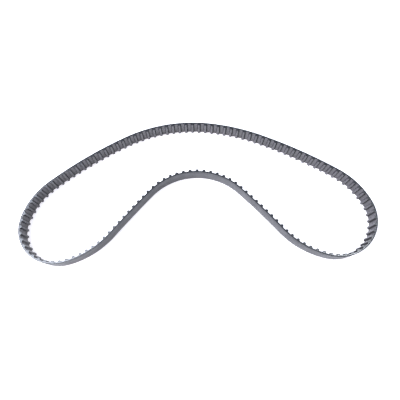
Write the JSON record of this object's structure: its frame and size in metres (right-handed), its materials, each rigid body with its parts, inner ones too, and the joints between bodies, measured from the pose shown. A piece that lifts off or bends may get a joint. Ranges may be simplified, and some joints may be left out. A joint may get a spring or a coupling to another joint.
{
  "type": "timing belt",
  "caption": "Endless rubber timing belt with trapezoidal teeth inside, standing on its edge in a relaxed kidney-shaped loop; it meshes with toothed pulleys.",
  "frame": {"origin": "below the middle of the loop's box, on the surface that the belt's lower cut edge rests on", "axes": "+X along the loop's length to the right, +Y from the hollow front run to the back run, +Z across the belt's width, up"},
  "size_m": [0.258, 0.1098, 0.012],
  "materials": {
    "backing_rubber": "smooth ground chloroprene back, semi-matte, with a faint sheen at low angles",
    "glass_cord": "twisted glass-fibre cord with an adhesive dip",
    "tooth_rubber": "moulded chloroprene, matte",
    "facing_fabric": "fine woven nylon facing, rubber-coated, semi-matte"
  },
  "bodies": {
    "span_01": {"backing_01": "backing_rubber", "tension_cords_01": "glass_cord", "tooth_cores_01": "tooth_rubber", "tooth_facing_01": "facing_fabric"},
    "span_02": {"backing_02": "backing_rubber", "tension_cords_02": "glass_cord", "tooth_cores_02": "tooth_rubber", "tooth_facing_02": "facing_fabric"},
    "span_03": {"backing_03": "backing_rubber", "tension_cords_03": "glass_cord", "tooth_cores_03": "tooth_rubber", "tooth_facing_03": "facing_fabric"},
    "span_04": {"backing_04": "backing_rubber", "tension_cords_04": "glass_cord", "tooth_cores_04": "tooth_rubber", "tooth_facing_04": "facing_fabric"},
    "span_05": {"backing_05": "backing_rubber", "tension_cords_05": "glass_cord", "tooth_cores_05": "tooth_rubber", "tooth_facing_05": "facing_fabric"},
    "span_06": {"backing_06": "backing_rubber", "tension_cords_06": "glass_cord", "tooth_cores_06": "tooth_rubber", "tooth_facing_06": "facing_fabric"},
    "span_07": {"backing_07": "backing_rubber", "tension_cords_07": "glass_cord", "tooth_cores_07": "tooth_rubber", "tooth_facing_07": "facing_fabric"},
    "span_08": {"backing_08": "backing_rubber", "tension_cords_08": "glass_cord", "tooth_cores_08": "tooth_rubber", "tooth_facing_08": "facing_fabric"},
    "span_09": {"backing_09": "backing_rubber", "tension_cords_09": "glass_cord", "tooth_cores_09": "tooth_rubber", "tooth_facing_09": "facing_fabric"},
    "span_10": {"backing_10": "backing_rubber", "tension_cords_10": "glass_cord", "tooth_cores_10": "tooth_rubber", "tooth_facing_10": "facing_fabric"},
    "span_11": {"backing_11": "backing_rubber", "tension_cords_11": "glass_cord", "tooth_cores_11": "tooth_rubber", "tooth_facing_11": "facing_fabric"},
    "span_12": {"backing_12": "backing_rubber", "tension_cords_12": "glass_cord", "tooth_cores_12": "tooth_rubber", "tooth_facing_12": "facing_fabric"},
    "span_13": {"backing_13": "backing_rubber", "tension_cords_13": "glass_cord", "tooth_cores_13": "tooth_rubber", "tooth_facing_13": "facing_fabric"}
  },
  "joints": [
    {"name": "flex_01_02", "type": "hinge", "parent": "span_01", "child": "span_02", "pos_m": [0.02075, 0.00906, 0.006], "axis": [0, 0, 1], "range_deg": [-12, 20]},
    {"name": "flex_02_03", "type": "hinge", "parent": "span_02", "child": "span_03", "pos_m": [0.05761, -0.02563, 0.006], "axis": [0, 0, 1], "range_deg": [-9.57, 5.75]},
    {"name": "flex_03_04", "type": "hinge", "parent": "span_03", "child": "span_04", "pos_m": [0.10094, -0.04906, 0.006], "axis": [0, 0, 1], "range_deg": [-11.83, 7.1]},
    {"name": "flex_04_05", "type": "hinge", "parent": "span_04", "child": "span_05", "pos_m": [0.12732, -0.01346, 0.006], "axis": [0, 0, 1], "range_deg": [-12.73, 21.21]},
    {"name": "flex_05_06", "type": "hinge", "parent": "span_05", "child": "span_06", "pos_m": [0.09297, 0.022, 0.006], "axis": [0, 0, 1], "range_deg": [-8.52, 5.11]},
    {"name": "flex_06_07", "type": "hinge", "parent": "span_06", "child": "span_07", "pos_m": [0.0471, 0.04374, 0.006], "axis": [0, 0, 1], "range_deg": [-11.62, 6.97]},
    {"name": "flex_01_13", "type": "hinge", "parent": "span_01", "child": "span_13", "pos_m": [-0.02316, 0.00918, 0.006], "axis": [0, 0, 1], "range_deg": [-18.93, 11.36]},
    {"name": "flex_13_12", "type": "hinge", "parent": "span_13", "child": "span_12", "pos_m": [-0.05865, -0.02677, 0.006], "axis": [0, 0, 1], "range_deg": [-4.12, 6.87]},
    {"name": "flex_12_11", "type": "hinge", "parent": "span_12", "child": "span_11", "pos_m": [-0.09993, -0.05405, 0.006], "axis": [0, 0, 1], "range_deg": [-7.15, 11.92]},
    {"name": "flex_11_10", "type": "hinge", "parent": "span_11", "child": "span_10", "pos_m": [-0.12719, -0.02046, 0.006], "axis": [0, 0, 1], "range_deg": [-17.52, 10.51]},
    {"name": "flex_10_09", "type": "hinge", "parent": "span_10", "child": "span_09", "pos_m": [-0.09502, 0.01738, 0.006], "axis": [0, 0, 1], "range_deg": [-2.03, 3.38]},
    {"name": "flex_09_08", "type": "hinge", "parent": "span_09", "child": "span_08", "pos_m": [-0.05166, 0.04372, 0.006], "axis": [0, 0, 1], "range_deg": [-8.38, 13.96]}
  ],
  "couplings": [
    {"joint": "flex_02_03", "follows": "flex_01_02", "ratio": -0.4786},
    {"joint": "flex_03_04", "follows": "flex_01_02", "ratio": -0.5913},
    {"joint": "flex_04_05", "follows": "flex_01_02", "ratio": 1.0604},
    {"joint": "flex_05_06", "follows": "flex_01_02", "ratio": -0.426},
    {"joint": "flex_06_07", "follows": "flex_01_02", "ratio": -0.5808},
    {"joint": "flex_01_13", "follows": "flex_01_02", "ratio": -0.9465},
    {"joint": "flex_13_12", "follows": "flex_01_02", "ratio": 0.3434},
    {"joint": "flex_12_11", "follows": "flex_01_02", "ratio": 0.5959},
    {"joint": "flex_11_10", "follows": "flex_01_02", "ratio": -0.8759},
    {"joint": "flex_10_09", "follows": "flex_01_02", "ratio": 0.1688},
    {"joint": "flex_09_08", "follows": "flex_01_02", "ratio": 0.6981}
  ]
}
